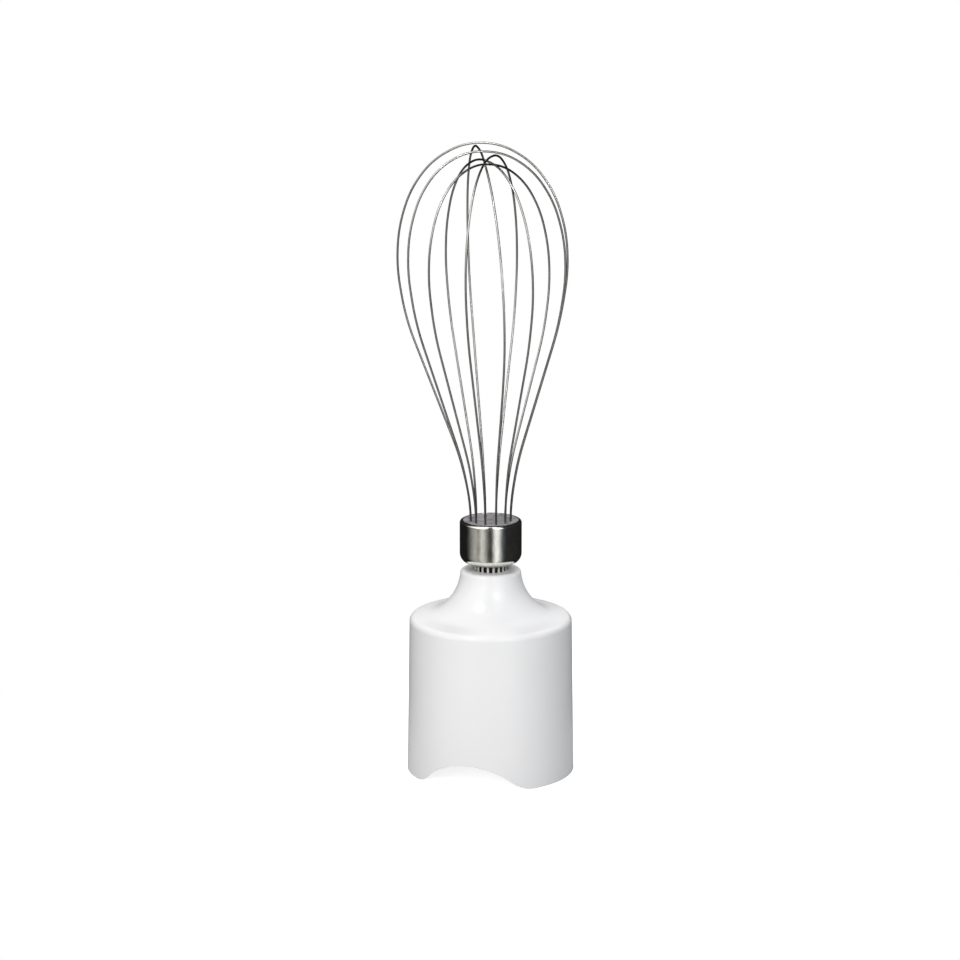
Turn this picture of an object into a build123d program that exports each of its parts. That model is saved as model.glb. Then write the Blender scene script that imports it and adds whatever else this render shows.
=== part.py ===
"""Whisk attachment for a hand blender: a flared gearbox housing, a planetary reduction gear
inside it, and a balloon whisk of six wire loops that is pushed into the gearbox and pulled out.

Millimetres. The origin is the middle of the skirt's bottom plane, on the axis that the whisk
spins about, and +Z runs up to the top of the balloon. The view is along +Y.
"""

import os
from math import acos, atan2, cos, pi, radians, sin, sqrt, tan

from build123d import *

# Housing: the white moulding that stands on its skirt
skirt_radius = 31.3  # outside, at the bottom
side_draft = 1.1  # how much narrower the side is at the rim
rim_round = 2.25
shelf_width = 7.6  # from the rim in to the crease, where the shelf turns up into the flare
shelf_rise = 1.3  # from the rim up to the crease
crease_run = 1.66  # how far the crease's rounding reaches onto the shelf
flare_height = 16.8  # from the crease up to the neck's flat top
neck_wall = 2.3
neck_edge_round = 1.4
shell_wall = 2.3

# The two arches cut in the skirt, each steeper on one side
arch_height = 9.4
arch_direction = 252.2  # degrees from +X, the second arch is opposite
arch_steep_foot = 45.0  # degrees from the arch's middle to its foot
arch_gentle_foot = 52.5
crown_share = 0.685  # crown radius, as a share of crown and foot radius together

# Socket that goes over the motor body
skirt_wall = 2.5
socket_depth = 22.0
ledge_width = 1.2  # the shoulder that the motor body stops against

# Neck bore, its lip and the seal
neck_lip_thickness = 2.2
neck_tube_wall = 2.05
seal_thickness = 1.3
running_gap = 0.06  # a shaft in its bush, on the radius
seat_gap = 0.03  # a piece pressed or set into its seat, on the radius
face_gap = 0.15  # between faces that turn past each other
cut_overrun = 1.0  # how far a cut runs past the piece it is made in

# Cover plate that closes the gearbox from below
cover_recess = 1.0  # from the ledge up to the cover
cover_thickness = 2.6
cover_gap = 0.2
cover_boss_wall = 1.9
boss_room = 0.8  # from the boss up to the input bush's top
collar_height = 3.4
collar_wall = 1.5
collar_boss_gap = 0.6
catch_width = 11.0
catch_depth = 2.6

# Cover screws
screw_count = 3
screw_inset = 2.8  # from the inner wall to a screw's middle
screw_first_angle = 45.0
screw_radius = 1.3
screw_head_radius = 2.2
screw_head_height = 1.3
screw_length = 11.0
screw_boss_radius = 3.0
screw_pilot_gap = 0.1
screw_cross_width = 0.7
screw_cross_share = 0.65  # of the head's diameter

# Planetary gears
ring_inset = 6.2  # from the inner wall to the gear ring
ring_rim = 2.6  # from the ring's tooth roots to its outside
pressure_angle = 25.0
sun_teeth = 9
planet_teeth = 18
ring_teeth = 45
planet_count = 3
first_planet_angle = 90.0
gear_lift = 1.65  # from the drive socket up to the gears
gear_width = 8.0
addendum = 0.75  # in modules
dedendum = 1.0  # in modules
backlash = 0.12
tooth_sink = 0.3  # how far a tooth's root runs into its gear
ring_room_below = 1.0  # how far the ring's teeth run past the planets
ring_room_above = 0.5
ring_wall = 1.5
ring_rise = 2.0  # from the carrier's plate up to the ring's seat
key_width = 3.0
key_height = 2.5

# Input: drive socket, bush and shaft
coupling_radius = 5.2
coupling_bore_radius = 3.2
coupling_bore_depth = 6.5
coupling_height = 8.2
coupling_flange_width = 1.6
coupling_flange_height = 1.2
drive_slot_count = 3
drive_slot_width = 1.2
drive_slot_depth = 1.0
input_bush_wall = 1.6
input_shaft_radius = 1.5
input_shaft_seat = 1.2  # how far the shaft goes into the coupling
input_shaft_tip = 0.3

# Output: planet carrier and what it holds
carrier_rim = 4.2  # from the planets' pins to the carrier's edge
carrier_lift = 1.0  # from the gears up to the carrier's plate
carrier_thickness = 3.0
carrier_tube_wall = 1.13
carrier_shoulder_width = 2.0
carrier_shoulder_height = 10.4
carrier_end_play = 0.4
planet_pin_radius = 1.5
pin_head_radius = 2.6
pin_head_height = 0.9
bush_wall = 1.46
bush_flange_width = 1.95
bush_flange_height = 1.0
washer_thickness = 0.6
washer_inset = 0.4  # from the bush's flange in to the washer's edge
washer_gap = 0.1
clip_lift = 2.0  # from the stem's end up to its groove
clip_thickness = 0.8
clip_opening = 3.0
clip_gap = 0.1
stem_guide_height = 5.6

# Whisk hub, stem and ferrule
spline_count = 18
hub_wall = 2.5  # from the stem to the roots of the ribs
hub_rib_height = 1.15
hub_rib_width = 0.75
hub_rib_length = 2.0  # radial, with its root inside the core
hub_rib_lead = 1.5  # plain end below the ribs
hub_tip_height = 0.8
hub_tip_inset = 0.5
hub_lift = 1.6  # from the guide ring up to the hub
hub_depth = 16.8  # how far the hub goes into the neck
spline_gap = 0.12
lip_gap = 0.3
stem_radius = 2.5
stem_lift = 5.0  # from the carrier's plate up to the stem
stem_cap = 4.6  # the hub's end above the stem
stem_end_room = 2.0  # free depth below the stem
stem_groove_depth = 0.4
stem_tip = 0.8
ferrule_radius = 11.5
ferrule_height = 16.4
ferrule_lift = 2.4  # from the neck's top to the bottom of the ferrule
ferrule_wall = 0.8
foot_gap = 0.25  # between the hub's ribs and the ferrule's turned-in foot
foot_flat = 1.2  # flat part of the turned-in foot
ferrule_top_round = 1.1
plate_inset = 1.2
plate_thickness = 0.8
plate_recess = 0.2

# Balloon: six wire loops, nested and a little uneven as they were bent
wire_diameter = 0.8
wire_inset = 2.7  # from the plate's edge in to the circle of holes
wire_socket_depth = 8.5
wire_hole_gap = 0.04
balloon_height = 140.0
balloon_radius = 31.9
wire_first_angle = -15.0

# Every loop: which pair of holes it stands in and how far its belly is turned from them in
# degrees. Then, as shares of the balloon's radius: how much narrower and lower it is than the
# largest loop, how far its top leans to +X and to +Y, and how much higher its starting side
# rises than its other side.
loops = [
    ("wire_loop_1", 0, -1.1, 0.0, 0.0, -0.103, -0.014, 0.022),
    ("wire_loop_2", 5, 0.8, 0.074, 0.108, -0.041, 0.044, 0.082),
    ("wire_loop_3", 3, -3.7, 0.085, 0.156, 0.011, -0.001, -0.014),
    ("wire_loop_4", 1, -11.5, 0.111, 0.214, -0.027, -0.028, -0.113),
    ("wire_loop_5", 4, -4.2, 0.097, 0.247, -0.009, -0.011, 0.114),
    ("wire_loop_6", 2, -1.5, 0.105, 0.279, -0.06, 0.016, -0.639),
]

# Half of the balloon's outline: share of the height above the ferrule, and share of the way
# out from the hole circle to the widest place. The route is rounded at each of these.
outline = [
    (0.04, 0.0),
    (0.16, 0.13),
    (0.535, 0.89),
    (0.67, 1.02),
    (0.775, 0.99),
    (0.875, 0.805),
    (0.953, 0.465),
    (1.0, -0.04),
]
corner_share = 0.47  # of the shorter run, taken up by each bend

# Radii that follow from the sizes above, from the skirt in
rim_radius = skirt_radius - side_draft
crease_radius = rim_radius - shelf_width
socket_radius = skirt_radius - skirt_wall
inner_radius = socket_radius - ledge_width
screw_circle_radius = inner_radius - screw_inset
ring_outer_radius = inner_radius - ring_inset
gear_module = 2 * (ring_outer_radius - ring_rim) / (ring_teeth + 2 * dedendum)
planet_circle_radius = gear_module * (sun_teeth + planet_teeth) / 2
carrier_radius = planet_circle_radius + carrier_rim

# and from the axis out
input_bush_radius = coupling_radius + running_gap + input_bush_wall
coupling_flange_radius = coupling_radius + coupling_flange_width
boss_radius = input_bush_radius + seat_gap + cover_boss_wall
hub_bore_radius = stem_radius + seat_gap
hub_core_radius = stem_radius + hub_wall
hub_rib_radius = hub_core_radius + hub_rib_height
carrier_tube_radius = hub_rib_radius + spline_gap + carrier_tube_wall
carrier_shoulder_radius = carrier_tube_radius + carrier_shoulder_width
neck_bore_radius = carrier_tube_radius + running_gap + bush_wall + seat_gap
bush_flange_radius = neck_bore_radius + bush_flange_width
neck_radius = neck_bore_radius + neck_wall
foot_opening = hub_rib_radius + foot_gap
ferrule_foot_round = ferrule_radius - foot_opening - foot_flat
plate_radius = ferrule_radius - plate_inset
wire_circle_radius = plate_radius - wire_inset

# Heights that follow, from the skirt up: the gears, then the housing over them
cover_bottom = socket_depth + cover_recess
cover_top = cover_bottom + cover_thickness
coupling_bottom = cover_bottom + face_gap
coupling_top = coupling_bottom + coupling_height
gear_floor = coupling_top + gear_lift
gear_top = gear_floor + gear_width
carrier_bottom = gear_top + carrier_lift
carrier_top = carrier_bottom + carrier_thickness
ring_top_height = carrier_top + ring_rise
carrier_shoulder_top = carrier_top + carrier_shoulder_height
washer_bottom = carrier_shoulder_top + carrier_end_play
neck_tube_height = washer_bottom + washer_thickness + bush_flange_height
stem_bottom = carrier_top + stem_lift
clip_height = stem_bottom + clip_lift
hub_bottom = clip_height + clip_thickness + stem_guide_height + hub_lift
neck_height = hub_bottom + hub_depth
crease_height = neck_height - flare_height
rim_height = crease_height - shelf_rise
lip_bottom = neck_height - neck_lip_thickness
seal_bottom = lip_bottom - seal_thickness
carrier_tube_top = seal_bottom - face_gap
ferrule_bottom = neck_height + ferrule_lift
ferrule_top = ferrule_bottom + ferrule_height
plate_top = ferrule_top - plate_recess
plate_bottom = plate_top - plate_thickness
plug_top = plate_bottom
stem_top = plug_top - stem_cap
wire_foot = plug_top - wire_socket_depth
balloon_top = plate_top + balloon_height

os.makedirs("parts", exist_ok=True)


def save(piece, name):
    """Label one finished piece and write it."""
    piece.part.label = name
    export_step(piece.part, f"parts/{name}.step")


def involute(angle):
    return tan(angle) - angle


def flank_angle(teeth, radius, thinning):
    """Half the angle that a tooth spans at this radius, with its thickness reduced."""
    pitch = gear_module * teeth / 2
    base = pitch * cos(radians(pressure_angle))
    here = acos(min(1.0, base / radius))
    half = pi / (2 * teeth) - thinning / (2 * pitch)
    return half + involute(radians(pressure_angle)) - involute(here)


def tooth(teeth, low, high, thinning):
    """Corner points of one involute tooth that points along +X."""
    base = gear_module * teeth / 2 * cos(radians(pressure_angle))
    start = max(low, base)
    steps = [start + (high - start) * k / 4 for k in range(5)]
    side = [(r * cos(flank_angle(teeth, r, thinning)), r * sin(flank_angle(teeth, r, thinning)))
            for r in steps]
    turn = atan2(side[0][1], side[0][0])
    side.insert(0, ((low - tooth_sink) * cos(turn), (low - tooth_sink) * sin(turn)))
    return side + [(x, -y) for x, y in reversed(side)]


# Gearbox housing
shelf_slope = shelf_rise / shelf_width
flare_reach = crease_radius - neck_radius
flare_radius = (flare_reach**2 + flare_height**2) / (2 * flare_reach)
flare_center = neck_radius + flare_radius
tube_outside = neck_bore_radius + neck_tube_wall
shelf_under = crease_height - shell_wall
cavity_radius = flare_radius + shell_wall
cavity_corner = flare_center - sqrt(cavity_radius**2 - (neck_height - shelf_under) ** 2)
cavity_top = neck_height - sqrt(cavity_radius**2 - (flare_center - tube_outside) ** 2)
wall_under = rim_height - shell_wall + shelf_slope * (rim_radius - inner_radius)

# The crease is rounded by an arc that touches the shelf and the inside of the flare's circle
shelf_angle = atan2(shelf_rise, shelf_width)
crease_turn = atan2(flare_center - crease_radius, flare_height) - shelf_angle
crease_room = 2 * flare_radius * sin(crease_turn) - crease_run
crease_round = crease_run * crease_room / (2 * flare_radius * (1 - cos(crease_turn)))
shelf_end = (
    crease_radius + crease_run * cos(shelf_angle),
    crease_height - crease_run * sin(shelf_angle),
)
round_center = (
    shelf_end[0] + crease_round * sin(shelf_angle),
    shelf_end[1] + crease_round * cos(shelf_angle),
)
toward = atan2(round_center[1] - neck_height, round_center[0] - flare_center)
flare_end = (
    flare_center + flare_radius * cos(toward),
    neck_height + flare_radius * sin(toward),
)

with BuildPart() as gearbox_housing:
    with BuildSketch(Plane.XZ):
        with BuildLine():
            Polyline(
                (neck_bore_radius, neck_tube_height),
                (neck_bore_radius, lip_bottom),
                (hub_rib_radius + lip_gap, lip_bottom),
                (hub_rib_radius + lip_gap, neck_height),
                (neck_radius, neck_height),
            )
            TangentArc((neck_radius, neck_height), flare_end, tangent=(0, -1))
            TangentArc(shelf_end, flare_end, tangent=(-shelf_width, shelf_rise))
            Polyline(
                shelf_end,
                (rim_radius, rim_height),
                (skirt_radius, 0),
                (socket_radius, 0),
                (socket_radius, socket_depth),
                (inner_radius, socket_depth),
                (inner_radius, wall_under),
                (cavity_corner, shelf_under),
            )
            RadiusArc((cavity_corner, shelf_under), (tube_outside, cavity_top), cavity_radius)
            Polyline(
                (tube_outside, cavity_top),
                (tube_outside, neck_tube_height),
                (neck_bore_radius, neck_tube_height),
            )
        make_face()
    revolve(axis=Axis.Z)

    # Seat ring that holds the gear ring down on the cover
    with BuildSketch(Plane.XY.offset(ring_top_height)):
        Circle(ring_outer_radius)
        Circle(ring_outer_radius - shell_wall, mode=Mode.SUBTRACT)
    extrude(until=Until.NEXT)

    # Screw bosses along the wall
    with BuildSketch(Plane.XY.offset(cover_top)):
        with PolarLocations(screw_circle_radius, screw_count, start_angle=screw_first_angle):
            Circle(screw_boss_radius)
    extrude(until=Until.NEXT)
    with Locations(Plane.XY.offset(cover_top)):
        with PolarLocations(screw_circle_radius, screw_count, start_angle=screw_first_angle):
            Cylinder(
                screw_radius + screw_pilot_gap,
                screw_length,
                align=(Align.CENTER, Align.CENTER, Align.MIN),
                mode=Mode.SUBTRACT,
            )

    # Rim and neck edges
    rim_edge = gearbox_housing.edges().filter_by(GeomType.CIRCLE).filter_by(
        lambda e: abs(e.radius - rim_radius) < 0.01 and abs(e.center().Z - rim_height) < 0.01
    )
    fillet(rim_edge, rim_round)
    neck_edge = gearbox_housing.edges().filter_by(GeomType.CIRCLE).filter_by(
        lambda e: abs(e.radius - neck_radius) < 0.01 and abs(e.center().Z - neck_height) < 0.01
    )
    fillet(neck_edge, neck_edge_round)

    # Arches: on each side a crown arc that runs into a foot arc
    steep_width = skirt_radius * sin(radians(arch_steep_foot))
    gentle_width = skirt_radius * sin(radians(arch_gentle_foot))
    turn = radians(arch_direction)
    arch_plane = Plane(
        origin=(0, 0, 0), x_dir=(-sin(turn), cos(turn), 0), z_dir=(cos(turn), sin(turn), 0)
    )
    with BuildSketch(arch_plane):
        with BuildLine():
            for side, width in ((-1, steep_width), (1, gentle_width)):
                arch_turn = 2 * atan2(arch_height, width)
                crown_radius = crown_share * width / sin(arch_turn)
                meet = (
                    side * crown_radius * sin(arch_turn),
                    arch_height - crown_radius * (1 - cos(arch_turn)),
                )
                TangentArc((0, arch_height), meet, tangent=(side, 0))
                TangentArc((side * width, 0), meet, tangent=(-side, 0))
            Polyline(
                (-steep_width, 0),
                (-steep_width, -cut_overrun),
                (gentle_width, -cut_overrun),
                (gentle_width, 0),
            )
        make_face()
    extrude(amount=skirt_radius + cut_overrun, both=True, mode=Mode.SUBTRACT)

save(gearbox_housing, "gearbox_housing")

# Cover plate, with the boss that carries the drive socket and the collar round the gear ring
cover_radius = inner_radius - cover_gap
bush_top = coupling_top - coupling_flange_height - face_gap
with BuildPart() as gearbox_cover:
    with BuildSketch(Plane.XY.offset(cover_bottom)):
        Circle(cover_radius)
        Circle(input_bush_radius + seat_gap, mode=Mode.SUBTRACT)
        with PolarLocations(cover_radius, 2, start_angle=arch_direction):
            Rectangle(2 * catch_depth, catch_width, mode=Mode.SUBTRACT)
    extrude(amount=cover_thickness)
    with BuildSketch(Plane.XY.offset(cover_top)):
        Circle(boss_radius)
        Circle(input_bush_radius + seat_gap, mode=Mode.SUBTRACT)
    extrude(amount=bush_top - boss_room - cover_top)
    with BuildSketch(Plane.XY.offset(cover_top)):
        Circle(ring_outer_radius + cover_gap + collar_wall)
        Circle(ring_outer_radius + cover_gap, mode=Mode.SUBTRACT)
        with PolarLocations(ring_outer_radius + collar_wall / 2, planet_count,
                            start_angle=first_planet_angle):
            Rectangle(2 * collar_wall + cut_overrun, key_width + 2 * cover_gap, mode=Mode.SUBTRACT)
        with PolarLocations(screw_circle_radius, screw_count, start_angle=screw_first_angle):
            Circle(screw_boss_radius + collar_boss_gap, mode=Mode.SUBTRACT)
    extrude(amount=collar_height)
    with Locations(Plane.XY.offset(cover_bottom)):
        with PolarLocations(screw_circle_radius, screw_count, start_angle=screw_first_angle):
            Cylinder(
                screw_radius + screw_pilot_gap,
                cover_thickness,
                align=(Align.CENTER, Align.CENTER, Align.MIN),
                mode=Mode.SUBTRACT,
            )
            Cylinder(
                screw_head_radius + screw_pilot_gap,
                screw_head_height,
                align=(Align.CENTER, Align.CENTER, Align.MIN),
                mode=Mode.SUBTRACT,
            )
save(gearbox_cover, "gearbox_cover")

# Cover screws, heads flush with the cover
for index in range(screw_count):
    angle = radians(screw_first_angle + 360 / screw_count * index)
    place = (screw_circle_radius * cos(angle), screw_circle_radius * sin(angle))
    with BuildPart() as cover_screw:
        with BuildSketch(Plane.XY.offset(cover_bottom)):
            with Locations(place):
                Circle(screw_head_radius)
        extrude(amount=screw_head_height)
        with BuildSketch(Plane.XY.offset(cover_bottom + screw_head_height)):
            with Locations(place):
                Circle(screw_radius)
        extrude(amount=screw_length)
        with BuildSketch(Plane.XY.offset(cover_bottom)):
            with Locations(place):
                Rectangle(2 * screw_head_radius * screw_cross_share, screw_cross_width)
                Rectangle(screw_cross_width, 2 * screw_head_radius * screw_cross_share)
        extrude(amount=screw_head_height * 0.6, mode=Mode.SUBTRACT)
    save(cover_screw, f"cover_screw_{index + 1}")

# Gear ring: an internal gear in the lower part of a plain tube
ring_pitch = gear_module * ring_teeth / 2
ring_tip = ring_pitch - addendum * gear_module
ring_root = ring_pitch + dedendum * gear_module
with BuildPart() as ring_gear:
    with BuildSketch(Plane.XY.offset(cover_top)):
        Circle(ring_outer_radius)
    extrude(amount=ring_top_height - face_gap - cover_top)
    with BuildSketch(Plane.XY.offset(cover_top)):
        with PolarLocations(ring_outer_radius, planet_count, start_angle=first_planet_angle):
            Rectangle(2 * collar_wall, key_width)
    extrude(amount=key_height)
    with BuildSketch(Plane.XY.offset(cover_top)):
        Circle(ring_outer_radius - ring_wall)
    extrude(amount=gear_floor - ring_room_below - cover_top, mode=Mode.SUBTRACT)
    with BuildSketch(Plane.XY.offset(gear_top + ring_room_above)):
        Circle(ring_outer_radius - ring_wall)
    extrude(amount=ring_top_height - gear_top, mode=Mode.SUBTRACT)
    half_step = 180 / ring_teeth
    with BuildSketch(Plane.XY.offset(gear_floor - ring_room_below)):
        Circle(ring_tip)
        with PolarLocations(0, ring_teeth, start_angle=first_planet_angle + half_step):
            Polygon(*tooth(ring_teeth, ring_tip, ring_root, -backlash), align=None)
    extrude(amount=gear_width + ring_room_below + ring_room_above, mode=Mode.SUBTRACT)
save(ring_gear, "ring_gear")

# Bearing bush for the output, with its flange under the neck tube
bush_inside = carrier_tube_radius + running_gap
with BuildPart() as output_bush:
    with BuildSketch(Plane.XY.offset(neck_tube_height)):
        Circle(neck_bore_radius - seat_gap)
        Circle(bush_inside, mode=Mode.SUBTRACT)
    extrude(amount=seal_bottom - neck_tube_height)
    with BuildSketch(Plane.XY.offset(neck_tube_height)):
        Circle(bush_flange_radius)
        Circle(bush_inside, mode=Mode.SUBTRACT)
    extrude(amount=-bush_flange_height)
save(output_bush, "output_bush")

# Rubber seal under the neck's lip
with BuildPart() as shaft_seal:
    with BuildSketch(Plane.XY.offset(seal_bottom)):
        Circle(neck_bore_radius - seat_gap)
        Circle(hub_rib_radius + lip_gap / 2, mode=Mode.SUBTRACT)
    extrude(amount=seal_thickness)
save(shaft_seal, "shaft_seal")

# Thrust washer between the carrier's shoulder and the bush
with BuildPart() as thrust_washer:
    with BuildSketch(Plane.XY.offset(washer_bottom)):
        Circle(bush_flange_radius - washer_inset)
        Circle(bush_inside + washer_gap, mode=Mode.SUBTRACT)
    extrude(amount=washer_thickness)
save(thrust_washer, "thrust_washer")

# Input bush in the cover's boss
with BuildPart() as input_bush:
    with BuildSketch(Plane.XY.offset(cover_bottom)):
        Circle(input_bush_radius)
        Circle(coupling_radius + running_gap, mode=Mode.SUBTRACT)
    extrude(amount=bush_top - cover_bottom)
save(input_bush, "input_bush")

# Drive socket: a blind hole with three slots, mouth down
with BuildPart() as input_coupling:
    with BuildSketch(Plane.XY.offset(coupling_bottom)):
        Circle(coupling_radius)
    extrude(amount=coupling_height)
    with BuildSketch(Plane.XY.offset(coupling_top)):
        Circle(coupling_flange_radius)
    extrude(amount=-coupling_flange_height)
    with BuildSketch(Plane.XY.offset(coupling_bottom)):
        Circle(coupling_bore_radius)
        with PolarLocations(coupling_bore_radius, drive_slot_count, start_angle=90):
            Rectangle(2 * drive_slot_depth, drive_slot_width)
    extrude(amount=coupling_bore_depth, mode=Mode.SUBTRACT)
    with BuildSketch(Plane.XY.offset(coupling_top)):
        Circle(input_shaft_radius)
    extrude(amount=-input_shaft_seat, mode=Mode.SUBTRACT)
save(input_coupling, "input_coupling")

# Input shaft, up to its pilot hole in the carrier
with BuildPart() as input_shaft:
    with BuildSketch(Plane.XY.offset(coupling_top - input_shaft_seat)):
        Circle(input_shaft_radius)
    extrude(amount=carrier_bottom + carrier_thickness * 0.6 - coupling_top + input_shaft_seat)
    chamfer(input_shaft.edges().sort_by(Axis.Z)[-1], input_shaft_tip)
save(input_shaft, "input_shaft")

# Sun gear
sun_pitch = gear_module * sun_teeth / 2
with BuildPart() as sun_gear:
    with BuildSketch(Plane.XY.offset(gear_floor)):
        Circle(sun_pitch - dedendum * gear_module)
        with PolarLocations(0, sun_teeth, start_angle=first_planet_angle):
            Polygon(
                *tooth(sun_teeth, sun_pitch - dedendum * gear_module,
                       sun_pitch + addendum * gear_module, backlash),
                align=None,
            )
        Circle(input_shaft_radius, mode=Mode.SUBTRACT)
    extrude(amount=gear_width)
save(sun_gear, "sun_gear")

# Planet gears and their pins, each planet with a gap between teeth towards the sun
planet_pitch = gear_module * planet_teeth / 2
planet_half_step = 180 / planet_teeth
for index in range(planet_count):
    angle = first_planet_angle + 360 / planet_count * index
    middle = (
        planet_circle_radius * cos(radians(angle)),
        planet_circle_radius * sin(radians(angle)),
    )
    with BuildPart() as planet_gear:
        with BuildSketch(Plane.XY.offset(gear_floor)):
            with Locations(middle):
                Circle(planet_pitch - dedendum * gear_module)
                with PolarLocations(0, planet_teeth, start_angle=angle + planet_half_step):
                    Polygon(
                        *tooth(planet_teeth, planet_pitch - dedendum * gear_module,
                               planet_pitch + addendum * gear_module, backlash),
                        align=None,
                    )
                Circle(planet_pin_radius + running_gap, mode=Mode.SUBTRACT)
        extrude(amount=gear_width)
    save(planet_gear, f"planet_gear_{index + 1}")

    with BuildPart() as planet_pin:
        with BuildSketch(Plane.XY.offset(gear_floor - face_gap - pin_head_height)):
            with Locations(middle):
                Circle(pin_head_radius)
        extrude(amount=pin_head_height)
        with BuildSketch(Plane.XY.offset(gear_floor - face_gap)):
            with Locations(middle):
                Circle(planet_pin_radius)
        extrude(amount=carrier_top - gear_floor + face_gap)
    save(planet_pin, f"planet_pin_{index + 1}")

# Planet carrier: plate, shoulder and the splined tube that drives the whisk
groove_radius = hub_rib_radius + spline_gap
land_radius = hub_core_radius + spline_gap
with BuildPart() as planet_carrier:
    with BuildSketch(Plane.XY.offset(carrier_bottom)):
        Circle(carrier_radius)
    extrude(amount=carrier_thickness)
    with BuildSketch(Plane.XY.offset(carrier_top)):
        Circle(carrier_shoulder_radius)
    extrude(amount=carrier_shoulder_top - carrier_top)
    with BuildSketch(Plane.XY.offset(carrier_shoulder_top)):
        Circle(carrier_tube_radius)
    extrude(amount=carrier_tube_top - carrier_shoulder_top)
    with BuildSketch(Plane.XY.offset(clip_height)):
        Circle(land_radius)
        with PolarLocations(0, spline_count):
            with Locations((groove_radius - hub_rib_length / 2, 0)):
                Rectangle(hub_rib_length, hub_rib_width + 2 * spline_gap)
        Circle(groove_radius, mode=Mode.INTERSECT)
    extrude(amount=carrier_tube_top - clip_height, mode=Mode.SUBTRACT)
    with BuildSketch(Plane.XY.offset(stem_bottom - stem_end_room)):
        Circle(stem_radius + spline_gap)
    extrude(amount=clip_height - stem_bottom + stem_end_room, mode=Mode.SUBTRACT)
    with BuildSketch(Plane.XY.offset(carrier_bottom)):
        Circle(input_shaft_radius + running_gap)
        with PolarLocations(planet_circle_radius, planet_count, start_angle=first_planet_angle):
            Circle(planet_pin_radius)
    extrude(amount=carrier_thickness, mode=Mode.SUBTRACT)
save(planet_carrier, "planet_carrier")

# Spring clip that snaps into the stem's groove, drawn open
with BuildPart() as retaining_clip:
    with BuildSketch(Plane.XY.offset(clip_height)):
        Circle(land_radius - clip_gap)
        Circle(stem_radius + spline_gap, mode=Mode.SUBTRACT)
        with Locations((land_radius / 2, 0)):
            Rectangle(land_radius, clip_opening, mode=Mode.SUBTRACT)
    extrude(amount=clip_thickness)
save(retaining_clip, "retaining_clip")

# Guide ring above the clip
with BuildPart() as stem_guide:
    with BuildSketch(Plane.XY.offset(clip_height + clip_thickness)):
        Circle(land_radius - seat_gap)
        Circle(stem_radius + spline_gap, mode=Mode.SUBTRACT)
    extrude(amount=stem_guide_height)
save(stem_guide, "stem_guide")

# Whisk hub: splined below, a plug inside the ferrule above
plug_radius = ferrule_radius - ferrule_wall - seat_gap
plug_foot_round = ferrule_foot_round - ferrule_wall - seat_gap
plug_bottom = ferrule_bottom + ferrule_wall + seat_gap
with BuildPart() as whisk_hub:
    with BuildSketch(Plane.XZ):
        with BuildLine():
            Polyline(
                (plug_radius - plug_foot_round, plug_bottom),
                (hub_core_radius, plug_bottom),
                (hub_core_radius, hub_bottom + hub_tip_height),
                (hub_core_radius - hub_tip_inset, hub_bottom),
                (0, hub_bottom),
                (0, plug_top),
                (plug_radius, plug_top),
                (plug_radius, plug_bottom + plug_foot_round),
            )
            TangentArc(
                (plug_radius, plug_bottom + plug_foot_round),
                (plug_radius - plug_foot_round, plug_bottom),
                tangent=(0, -1),
            )
        make_face()
    revolve(axis=Axis.Z)
    with BuildSketch(Plane.XY.offset(hub_bottom + hub_rib_lead)):
        with PolarLocations(0, spline_count):
            with Locations((hub_rib_radius - hub_rib_length / 2, 0)):
                Rectangle(hub_rib_length, hub_rib_width)
        Circle(hub_rib_radius, mode=Mode.INTERSECT)
    extrude(amount=plug_bottom - hub_bottom - hub_rib_lead)
    with BuildSketch(Plane.XY.offset(hub_bottom)):
        Circle(hub_bore_radius)
    extrude(amount=stem_top - hub_bottom, mode=Mode.SUBTRACT)
    with BuildSketch(Plane.XY.offset(plug_top)):
        with PolarLocations(wire_circle_radius, 2 * len(loops), start_angle=wire_first_angle):
            Circle(wire_diameter / 2 + wire_hole_gap)
    extrude(amount=-wire_socket_depth, mode=Mode.SUBTRACT)
save(whisk_hub, "whisk_hub")

# Steel stem with the groove that the clip holds
groove_bottom = clip_height - clip_gap
groove_top = clip_height + clip_thickness + clip_gap
with BuildPart() as whisk_stem:
    with BuildSketch(Plane.XZ):
        with BuildLine():
            Polyline(
                (0, stem_bottom),
                (stem_radius - stem_tip, stem_bottom),
                (stem_radius, stem_bottom + stem_tip),
                (stem_radius, groove_bottom),
                (stem_radius - stem_groove_depth, groove_bottom),
                (stem_radius - stem_groove_depth, groove_top),
                (stem_radius, groove_top),
                (stem_radius, stem_top),
                (0, stem_top),
                (0, stem_bottom),
            )
        make_face()
    revolve(axis=Axis.Z)
save(whisk_stem, "whisk_stem")

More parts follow.
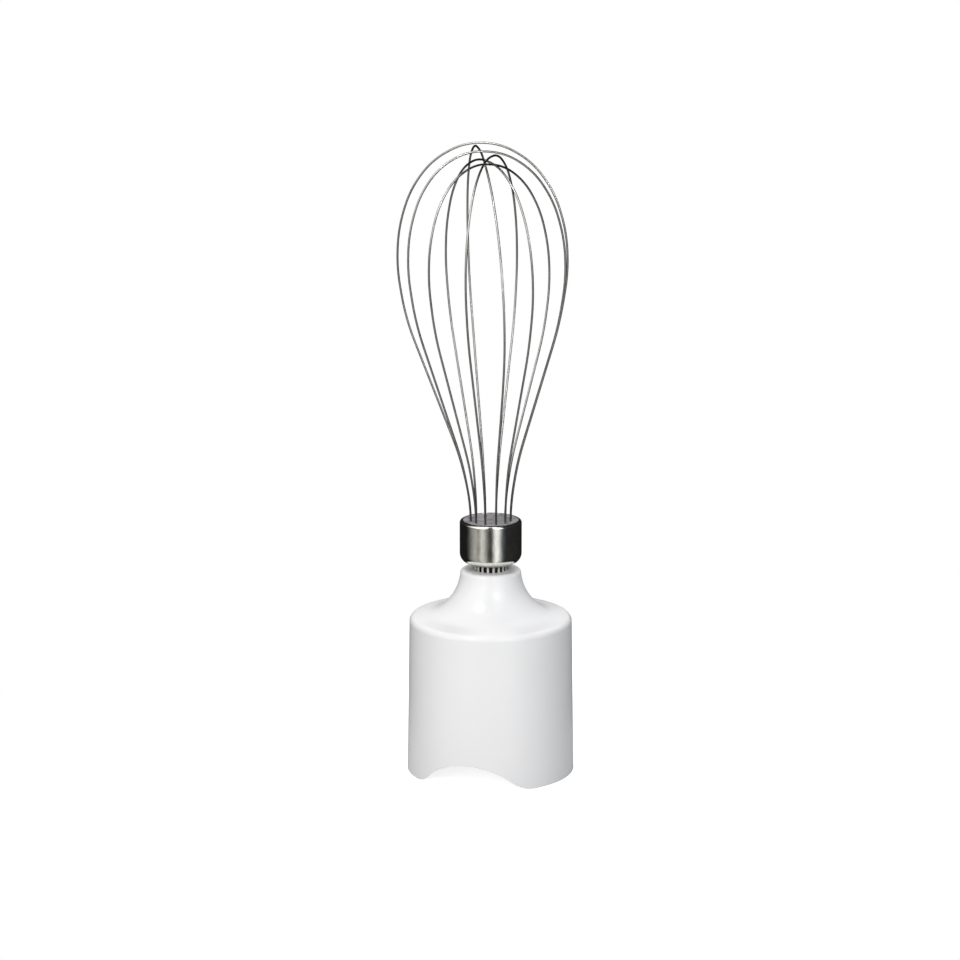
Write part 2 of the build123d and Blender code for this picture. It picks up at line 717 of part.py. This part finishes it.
# Ferrule: a turned-in foot, a straight side and a rounded top edge
ferrule_inside = ferrule_radius - ferrule_wall
with BuildPart() as ferrule:
    with BuildSketch(Plane.XZ):
        with BuildLine():
            Polyline(
                (ferrule_inside, ferrule_bottom + ferrule_foot_round),
                (ferrule_inside, plate_bottom),
                (plate_radius + seat_gap, plate_bottom),
                (plate_radius + seat_gap, ferrule_top),
                (ferrule_radius - ferrule_top_round, ferrule_top),
            )
            TangentArc(
                (ferrule_radius - ferrule_top_round, ferrule_top),
                (ferrule_radius, ferrule_top - ferrule_top_round),
                tangent=(1, 0),
            )
            Line(
                (ferrule_radius, ferrule_top - ferrule_top_round),
                (ferrule_radius, ferrule_bottom + ferrule_foot_round),
            )
            TangentArc(
                (ferrule_radius, ferrule_bottom + ferrule_foot_round),
                (ferrule_radius - ferrule_foot_round, ferrule_bottom),
                tangent=(0, -1),
            )
            Polyline(
                (ferrule_radius - ferrule_foot_round, ferrule_bottom),
                (foot_opening, ferrule_bottom),
                (foot_opening, ferrule_bottom + ferrule_wall),
                (ferrule_radius - ferrule_foot_round, ferrule_bottom + ferrule_wall),
            )
            TangentArc(
                (ferrule_radius - ferrule_foot_round, ferrule_bottom + ferrule_wall),
                (ferrule_inside, ferrule_bottom + ferrule_foot_round),
                tangent=(1, 0),
            )
        make_face()
    revolve(axis=Axis.Z)
save(ferrule, "ferrule")

# Plate on top of the ferrule that the wires come out of
with BuildPart() as wire_plate:
    with BuildSketch(Plane.XY.offset(plate_bottom)):
        Circle(plate_radius)
        with PolarLocations(wire_circle_radius, 2 * len(loops), start_angle=wire_first_angle):
            Circle(wire_diameter / 2 + wire_hole_gap, mode=Mode.SUBTRACT)
    extrude(amount=plate_thickness)
save(wire_plate, "wire_plate")


def ease(share):
    """0 to 1 with a soft start and end."""
    share = min(max(share, 0.0), 1.0)
    return share * share * (3 - 2 * share)


def route(hole, turned, narrower, lower, lean_x, lean_y, tilt):
    """Corner points of one loop, from its first hole over the top to its second."""
    wide = balloon_radius * (1 - narrower)
    rise = balloon_top - balloon_radius * lower - plate_top
    hole_angle = wire_first_angle - 30.0 * hole
    sides = []
    for side in (1, -1):
        points = [
            (
                side * wire_circle_radius * cos(radians(hole_angle)),
                side * wire_circle_radius * sin(radians(hole_angle)),
                wire_foot,
            )
        ]
        for height_share, width_share in outline:
            out = side * (wire_circle_radius + (wide - wire_circle_radius) * width_share)
            bearing = radians(hole_angle + turned * ease(height_share / 0.3))
            lean = balloon_radius * ease(height_share / 0.6)
            lift = balloon_radius * tilt * out / wide * ease(height_share / 0.7)
            points.append(
                (
                    out * cos(bearing) + lean_x * lean,
                    out * sin(bearing) + lean_y * lean,
                    plate_top + rise * height_share + lift,
                )
            )
        sides.append(points)
    return sides[0] + sides[1][::-1]


def bend_radii(points):
    """Radius of the bend at each inner point, set by its shorter run."""
    radii = []
    for before, here, after in zip(points, points[1:], points[2:]):
        run_in = Vector(*here) - Vector(*before)
        run_out = Vector(*after) - Vector(*here)
        half_turn = radians(run_in.get_angle(run_out)) / 2
        radii.append(corner_share * min(run_in.length, run_out.length) / tan(half_turn))
    return radii


for name, *shape in loops:
    corners = route(*shape)
    with BuildPart() as wire_loop:
        with BuildLine() as path:
            FilletPolyline(*corners, radius=bend_radii(corners))
        with BuildSketch(Plane(origin=corners[0], z_dir=(0, 0, 1))):
            Circle(wire_diameter / 2)
        sweep()
    save(wire_loop, name)
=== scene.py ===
"""Looks of the whisk attachment: materials, studio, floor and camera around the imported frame."""

from math import cos, pi, radians, sin

import bpy
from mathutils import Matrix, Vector

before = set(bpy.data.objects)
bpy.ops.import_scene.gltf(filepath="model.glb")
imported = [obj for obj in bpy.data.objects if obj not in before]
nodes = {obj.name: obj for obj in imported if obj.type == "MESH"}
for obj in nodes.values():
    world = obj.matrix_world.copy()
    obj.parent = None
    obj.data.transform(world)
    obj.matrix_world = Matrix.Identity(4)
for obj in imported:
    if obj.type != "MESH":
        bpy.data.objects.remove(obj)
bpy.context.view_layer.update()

# Camera, fitted to the ellipses of the skirt, rim, neck and ferrule. The focal length is in pixels.
IMAGE = 960
FOCAL_PX = 3203.0
CAMERA_AT = (-0.00397, -1.150, 0.3823)
PITCH_DOWN = 13.294
SENSOR_WIDTH = 36.0
CLIP_RANGE = (0.01, 20.0)

# Studio, seen by the glossy surfaces as bands round the spin axis.
# Each stop: degrees from the camera's side (left negative), brightness, warmth.
BANDS = [
    (-180.0, 0.010, 0.0),
    (-98.0, 0.012, 0.2),
    (-88.0, 0.06, 0.5),
    (-80.0, 0.16, 0.5),
    (-69.0, 0.31, 0.5),
    (-57.0, 0.42, 0.5),
    (-49.0, 0.33, 0.8),
    (-45.0, 0.27, 0.8),
    (-40.0, 0.42, 0.5),
    (-33.0, 0.68, 0.4),
    (-24.0, 0.52, 0.4),
    (-17.0, 0.30, 0.4),
    (-11.0, 0.14, 0.4),
    (-4.0, 0.05, 0.4),
    (3.0, 0.06, 0.2),
    (8.0, 0.30, 0.2),
    (13.0, 0.75, 0.2),
    (20.0, 1.04, 0.2),
    (27.0, 0.95, 0.0),
    (33.0, 0.60, -0.6),
    (40.0, 0.22, -1.2),
    (46.0, 0.09, -1.2),
    (56.0, 0.025, -0.5),
    (180.0, 0.010, 0.0),
]
# The same for what the surfaces see higher up, and the rise over which it takes over
HIGH_BANDS = [
    (-180.0, 0.02, 0.0),
    (-102.0, 0.03, 0.0),
    (-92.0, 0.55, 0.5),
    (-76.0, 1.10, 0.4),
    (-60.0, 2.10, 0.0),
    (-23.0, 2.10, 0.0),
    (-11.0, 0.06, 0.0),
    (9.0, 0.06, 0.0),
    (17.0, 2.40, 0.0),
    (37.0, 2.40, 0.0),
    (50.0, 0.03, 0.0),
    (180.0, 0.02, 0.0),
]
HIGH_FROM = (0.02, 0.22)
# What the world gives to all but camera and glossy rays
SKY_LEVEL = 0.02

# Floor: reach is metres from the spin axis. The shadow stays inside SHADOW_REACH, and glossy
# surfaces see a pale disc there that gives way to the bands over PALE_REACH.
FLOOR_HALF = 3.0
FLOOR_DROP = 0.0002
FLOOR_BOUNCE = 0.36
FLOOR_PAPER = 0.85
FLOOR_GLOW = 0.84
SHADOW_REACH = (0.06, 0.22)
PALE_LEVEL = 0.33
PALE_REACH = (0.05, 0.11)

# Lamps stand this far from a point on the spin axis, at the height of the flare
LAMP_AIM = Vector((0, 0, 0.067))
LAMP_DISTANCE = 1.6

# Noise in the materials: scales per metre, heights in metres. The last two are shares of a
# material's roughness, for its smoothest and its roughest spots.
NOISE_RANGE = (0.3, 0.7)
DRIFT_SCALE = 60.0
PATCH_SCALE = 220.0
PEEL_SCALE = 900.0
PEEL_HEIGHT = 0.0004
PEEL_STRENGTH = 0.02
LINE_HEIGHT = 0.0001
PLASTIC_ROUGHNESS = (0.9, 1.15)
METAL_ROUGHNESS = (0.8, 1.3)

# Directions for shade()
FROM_AXIS = (1, 1, 0)
UPWARD = (0, 0, 1)
# Where the painted shade in the hub's slots, on the ferrule's turned-in foot and on the wires'
# ends begins and stops, in metres from the axis or from the floor
HUB_SLOT_SHADE = (0.0056, 0.0060)
FERRULE_FOOT_SHADE = (0.0093, 0.0115)
WIRE_END_SHADE = (0.097, 0.119)


def tint(level, warmth):
    """Grey of this level, a little warm or cool."""
    red = level * (1 + 0.05 * warmth)
    green = level * (1 + 0.01 * warmth)
    blue = level * (1 - 0.07 * warmth)
    return (red, green, blue, 1)


def gray(level):
    return (level, level, level, 1)


def new_material(name):
    material = bpy.data.materials.new(name)
    material.use_nodes = True
    tree = material.node_tree
    tree.nodes.clear()
    return material, tree


def add(tree, kind, inputs=None, **settings):
    """New node with these settings, and with these values on its inputs."""
    node = tree.nodes.new(kind)
    for key, value in settings.items():
        setattr(node, key, value)
    for socket, value in (inputs or {}).items():
        node.inputs[socket].default_value = value
    return node


def remap(tree, value, reach, low=0.0, high=1.0, smooth=False):
    """A value that runs from low to high while the given one runs over this reach."""
    node = add(
        tree,
        "ShaderNodeMapRange",
        {"From Min": reach[0], "From Max": reach[1], "To Min": low, "To Max": high},
        interpolation_type="SMOOTHSTEP" if smooth else "LINEAR",
    )
    tree.links.new(value, node.inputs["Value"])
    return node.outputs["Result"]


def length_of(tree, vector):
    node = add(tree, "ShaderNodeVectorMath", operation="LENGTH")
    tree.links.new(vector, node.inputs[0])
    return node.outputs["Value"]


def blend_shaders(tree, factor, first, second):
    node = add(tree, "ShaderNodeMixShader")
    tree.links.new(factor, node.inputs[0])
    tree.links.new(first, node.inputs[1])
    tree.links.new(second, node.inputs[2])
    return node.outputs[0]


def output(tree, kind, shader):
    node = add(tree, kind)
    tree.links.new(shader, node.inputs["Surface"])


def band_ramp(tree, vector, bands):
    """Studio bands by the direction or place round the spin axis."""
    split = add(tree, "ShaderNodeSeparateXYZ")
    tree.links.new(vector, split.inputs[0])
    toward_camera = add(tree, "ShaderNodeMath", {1: -1.0}, operation="MULTIPLY")
    tree.links.new(split.outputs["Y"], toward_camera.inputs[0])
    turn = add(tree, "ShaderNodeMath", operation="ARCTAN2")
    tree.links.new(split.outputs["X"], turn.inputs[0])
    tree.links.new(toward_camera.outputs[0], turn.inputs[1])
    ramp = add(tree, "ShaderNodeValToRGB")
    elements = ramp.color_ramp.elements
    while len(elements) > 1:
        elements.remove(elements[-1])
    for index, (angle, level, warmth) in enumerate(bands):
        place = (angle + 180.0) / 360.0
        stop = elements[0] if index == 0 else elements.new(place)
        stop.position = place
        stop.color = tint(level, warmth)
    tree.links.new(remap(tree, turn.outputs[0], (-pi, pi)), ramp.inputs[0])
    return ramp.outputs["Color"]


def ray_kinds(tree):
    """1 for camera rays, and 1 for glossy rays that haven't been scattered before."""
    path = add(tree, "ShaderNodeLightPath")
    early = add(tree, "ShaderNodeMath", {1: 0.5}, operation="LESS_THAN")
    tree.links.new(path.outputs["Diffuse Depth"], early.inputs[0])
    mirror = add(tree, "ShaderNodeMath", operation="MULTIPLY")
    tree.links.new(path.outputs["Is Glossy Ray"], mirror.inputs[0])
    tree.links.new(early.outputs[0], mirror.inputs[1])
    return path.outputs["Is Camera Ray"], mirror.outputs[0]


def grain(tree, stretch, scale, detail):
    """Noise stretched along the object's own axes."""
    place = add(tree, "ShaderNodeTexCoord")
    sizes = add(tree, "ShaderNodeMapping", {"Scale": stretch})
    tree.links.new(place.outputs["Object"], sizes.inputs["Vector"])
    noise = add(tree, "ShaderNodeTexNoise", {"Scale": scale, "Detail": detail})
    tree.links.new(sizes.outputs["Vector"], noise.inputs["Vector"])
    return noise.outputs["Fac"]


def bump(tree, height, strength, distance):
    node = add(tree, "ShaderNodeBump", {"Strength": strength, "Distance": distance})
    tree.links.new(height, node.inputs["Height"])
    return node.outputs["Normal"]


def blend_colors(tree, factor, low, high):
    node = add(tree, "ShaderNodeMix", data_type="RGBA")
    node.inputs["A"].default_value = (*low, 1)
    node.inputs["B"].default_value = (*high, 1)
    tree.links.new(factor, node.inputs["Factor"])
    return node.outputs["Result"]


def plastic(name, low, high, roughness, gloss=0.5):
    """Moulded plastic: slight colour drift, orange peel, uneven gloss."""
    material, tree = new_material(name)
    shader = add(tree, "ShaderNodeBsdfPrincipled", {"IOR": 1.5, "Specular IOR Level": gloss})
    drift = grain(tree, (1, 1, 0.6), DRIFT_SCALE, 3.0)
    tree.links.new(blend_colors(tree, drift, low, high), shader.inputs["Base Color"])
    patch = grain(tree, (1, 1, 1), PATCH_SCALE, 4.0)
    least, most = (roughness * share for share in PLASTIC_ROUGHNESS)
    tree.links.new(remap(tree, patch, NOISE_RANGE, least, most), shader.inputs["Roughness"])
    peel = grain(tree, (1, 1, 1), PEEL_SCALE, 2.0)
    tree.links.new(bump(tree, peel, PEEL_STRENGTH, PEEL_HEIGHT), shader.inputs["Normal"])
    output(tree, "ShaderNodeOutputMaterial", shader.outputs[0])
    return material


def metal(name, low, high, roughness, stretch, scale, strength=0.15, metallic=1.0):
    """Turned, brushed or drawn metal: fine lines along one direction."""
    material, tree = new_material(name)
    shader = add(tree, "ShaderNodeBsdfPrincipled", {"Metallic": metallic})
    lines = grain(tree, stretch, scale, 8.0)
    share = remap(tree, lines, NOISE_RANGE)
    tree.links.new(blend_colors(tree, share, low, high), shader.inputs["Base Color"])
    least, most = (roughness * share for share in METAL_ROUGHNESS)
    tree.links.new(remap(tree, lines, NOISE_RANGE, least, most), shader.inputs["Roughness"])
    tree.links.new(bump(tree, lines, strength, LINE_HEIGHT), shader.inputs["Normal"])
    output(tree, "ShaderNodeOutputMaterial", shader.outputs[0])
    return material


def shade(material, along, reach, color):
    """Painted shade: fade to this colour from the far to the near end of a reach, measured along these
    axes.
    """
    tree = material.node_tree
    shader = next(node for node in tree.nodes if node.type == "BSDF_PRINCIPLED")
    place = add(tree, "ShaderNodeTexCoord")
    flat = add(tree, "ShaderNodeVectorMath", {1: along}, operation="MULTIPLY")
    tree.links.new(place.outputs["Object"], flat.inputs[0])
    mix = add(tree, "ShaderNodeMix", data_type="RGBA")
    mix.inputs["A"].default_value = (*color, 1)
    tree.links.new(remap(tree, length_of(tree, flat.outputs[0]), reach), mix.inputs["Factor"])
    tree.links.new(shader.inputs["Base Color"].links[0].from_socket, mix.inputs["B"])
    tree.links.new(mix.outputs["Result"], shader.inputs["Base Color"])
    return material


def dress(material, *names):
    """Give CAD nodes their material."""
    for name in names:
        slots = nodes[name].material_slots
        if not slots:
            nodes[name].data.materials.append(material)
        for slot in slots:
            slot.material = material


def numbered(name, count):
    return [f"{name}_{index}" for index in range(1, count + 1)]


# Gearbox shells
white_gloss = plastic(
    "white_gloss", (0.80, 0.80, 0.805), (0.83, 0.83, 0.835), roughness=0.22, gloss=0.30
)
dress(white_gloss, "gearbox_housing")
white_satin = plastic("white_satin", (0.72, 0.72, 0.71), (0.76, 0.76, 0.75), roughness=0.42)
dress(white_satin, "gearbox_cover")

# Hub, with painted shade in the slots between its ribs
hub_white = plastic("hub_white", (0.58, 0.57, 0.54), (0.64, 0.63, 0.60), roughness=0.35)
shade(hub_white, FROM_AXIS, HUB_SLOT_SHADE, (0.012, 0.012, 0.010))
dress(hub_white, "whisk_hub")

# Gears and what runs with them
gear_cream = plastic("gear_cream", (0.70, 0.67, 0.57), (0.75, 0.72, 0.62), roughness=0.4)
dress(gear_cream, "ring_gear", "input_coupling", "sun_gear", *numbered("planet_gear", 3))
dress(gear_cream, "planet_carrier", "stem_guide")

seal_rubber = plastic("seal_rubber", (0.02, 0.02, 0.02), (0.03, 0.03, 0.03), roughness=0.7)
dress(seal_rubber, "shaft_seal")

# Bushes and hidden steel, with fine lines round them
bush_bronze = metal(
    "bush_bronze",
    (0.42, 0.28, 0.13),
    (0.50, 0.34, 0.17),
    roughness=0.35,
    stretch=(1, 1, 40),
    scale=90.0,
)
dress(bush_bronze, "output_bush", "input_bush")
turned_steel = metal(
    "turned_steel",
    (0.50, 0.50, 0.50),
    (0.60, 0.60, 0.60),
    roughness=0.28,
    stretch=(1, 1, 40),
    scale=90.0,
)
dress(turned_steel, *numbered("cover_screw", 3), "thrust_washer", "input_shaft")
dress(turned_steel, *numbered("planet_pin", 3), "retaining_clip", "whisk_stem")

# Ferrule, with painted shade on its turned-in foot, darker than its wall
ferrule_brushed = metal(
    "ferrule_brushed",
    (0.76, 0.755, 0.695),
    (0.95, 0.95, 0.885),
    roughness=0.13,
    stretch=(1, 1, 0.6),
    scale=520.0,
    strength=0.42,
)
shade(ferrule_brushed, FROM_AXIS, FERRULE_FOOT_SHADE, (0.34, 0.34, 0.28))
dress(ferrule_brushed, "ferrule")

plate_satin = metal(
    "plate_satin",
    (0.33, 0.32, 0.335),
    (0.68, 0.66, 0.685),
    roughness=0.20,
    stretch=(1, 1, 1),
    scale=300.0,
    strength=0.1,
    metallic=0.4,
)
dress(plate_satin, "wire_plate")

# Wires, with painted shade just above the plate
wire_drawn = metal(
    "wire_drawn",
    (0.38, 0.38, 0.365),
    (0.49, 0.49, 0.47),
    roughness=0.29,
    stretch=(1, 1, 0.05),
    scale=400.0,
    strength=0.005,
)
shade(wire_drawn, UPWARD, WIRE_END_SHADE, (0.12, 0.12, 0.115))
dress(wire_drawn, *numbered("wire_loop", 6))


def diffuse(tree, level):
    return add(tree, "ShaderNodeBsdfDiffuse", {"Color": gray(level)}).outputs[0]


def floor_material():
    """White with a shadow near the object to the camera, the studio to glossy rays, else pale."""
    material, tree = new_material("floor_pale")
    place = add(tree, "ShaderNodeNewGeometry")
    reach = length_of(tree, place.outputs["Position"])

    near = add(tree, "ShaderNodeAddShader")
    tree.links.new(diffuse(tree, FLOOR_PAPER), near.inputs[0])
    tree.links.new(add(tree, "ShaderNodeEmission", {"Strength": FLOOR_GLOW}).outputs[0], near.inputs[1])
    far = add(tree, "ShaderNodeEmission")
    fade = remap(tree, reach, SHADOW_REACH, smooth=True)
    seen = blend_shaders(tree, fade, near.outputs[0], far.outputs[0])

    sheet = add(tree, "ShaderNodeMix", data_type="RGBA")
    sheet.inputs["A"].default_value = gray(PALE_LEVEL)
    tree.links.new(remap(tree, reach, PALE_REACH, smooth=True), sheet.inputs["Factor"])
    tree.links.new(band_ramp(tree, place.outputs["Position"], BANDS), sheet.inputs["B"])
    studio = add(tree, "ShaderNodeEmission")
    tree.links.new(sheet.outputs["Result"], studio.inputs["Color"])

    is_camera, is_mirror = ray_kinds(tree)
    plain = blend_shaders(tree, is_camera, diffuse(tree, FLOOR_BOUNCE), seen)
    surface = blend_shaders(tree, is_mirror, plain, studio.outputs[0])
    output(tree, "ShaderNodeOutputMaterial", surface)
    return material


def studio_world():
    """White to the camera, the studio bands to glossy rays, almost dark to the rest."""
    world = bpy.data.worlds.new("studio")
    bpy.context.scene.world = world
    world.use_nodes = True
    tree = world.node_tree
    tree.nodes.clear()
    heading = add(tree, "ShaderNodeTexCoord").outputs["Generated"]
    split = add(tree, "ShaderNodeSeparateXYZ")
    tree.links.new(heading, split.inputs[0])
    rise = remap(tree, split.outputs["Z"], HIGH_FROM, smooth=True)
    sky = add(tree, "ShaderNodeMix", data_type="RGBA")
    tree.links.new(rise, sky.inputs["Factor"])
    tree.links.new(band_ramp(tree, heading, BANDS), sky.inputs["A"])
    tree.links.new(band_ramp(tree, heading, HIGH_BANDS), sky.inputs["B"])
    bands = add(tree, "ShaderNodeBackground")
    tree.links.new(sky.outputs["Result"], bands.inputs["Color"])
    white = add(tree, "ShaderNodeBackground", {"Color": gray(1.0)})
    soft = add(tree, "ShaderNodeBackground", {"Strength": SKY_LEVEL})
    is_camera, is_mirror = ray_kinds(tree)
    unseen = blend_shaders(tree, is_mirror, soft.outputs[0], bands.outputs[0])
    surface = blend_shaders(tree, is_camera, unseen, white.outputs[0])
    output(tree, "ShaderNodeOutputWorld", surface)


def lamp(name, side, rise, size, level, mirrored=False, warmth=0.0):
    """Round soft lamp, side and rise in degrees from the camera's side and from level."""
    light = bpy.data.lights.new(name, "AREA")
    light.color = tint(1.0, warmth)[:3]
    light.shape = "DISK"
    light.size = size
    light.energy = level * pi**2 * LAMP_DISTANCE**2
    holder = bpy.data.objects.new(name, light)
    holder.visible_glossy = mirrored
    bpy.context.scene.collection.objects.link(holder)
    right = sin(radians(side)) * cos(radians(rise))
    back = -cos(radians(side)) * cos(radians(rise))
    heading = Vector((right, back, sin(radians(rise))))
    holder.location = LAMP_AIM + heading * LAMP_DISTANCE
    holder.rotation_euler = heading.to_track_quat("Z", "Y").to_euler()


corners = [(-1, -1), (1, -1), (1, 1), (-1, 1)]
mesh = bpy.data.meshes.new("floor")
mesh.from_pydata([(x * FLOOR_HALF, y * FLOOR_HALF, 0) for x, y in corners], [], [(0, 1, 2, 3)])
mesh.materials.append(floor_material())
floor = bpy.data.objects.new("floor", mesh)
bpy.context.scene.collection.objects.link(floor)
floor.location.z = -FLOOR_DROP

studio_world()

# Both spots stand where the two small highlights on the flare put them; the rest are soft
lamp("key_spot", side=-43.7, rise=56.0, size=0.24, level=0.18, mirrored=True)
lamp("fill_spot", side=21.2, rise=28.7, size=0.18, level=0.14, mirrored=True)
lamp("fill_soft", side=21.2, rise=28.7, size=1.0, level=0.27)
lamp("front_soft", side=-25.0, rise=18.0, size=0.8, level=0.51)
lamp("left_soft", side=-95.0, rise=25.0, size=1.2, level=0.09)
lamp("right_soft", side=85.0, rise=25.0, size=1.2, level=0.13, warmth=-1.0)
lamp("back_left", side=-150.0, rise=50.0, size=1.0, level=0.50)
lamp("back_right", side=150.0, rise=50.0, size=1.0, level=0.54)

camera_data = bpy.data.cameras.new("camera")
camera_data.sensor_width = SENSOR_WIDTH
camera_data.lens = FOCAL_PX / IMAGE * SENSOR_WIDTH
camera_data.clip_start, camera_data.clip_end = CLIP_RANGE
camera = bpy.data.objects.new("camera", camera_data)
bpy.context.scene.collection.objects.link(camera)
camera.location = CAMERA_AT
camera.rotation_euler = (radians(90.0 - PITCH_DOWN), 0, 0)
bpy.context.scene.camera = camera
bpy.context.scene.view_settings.view_transform = "Standard"
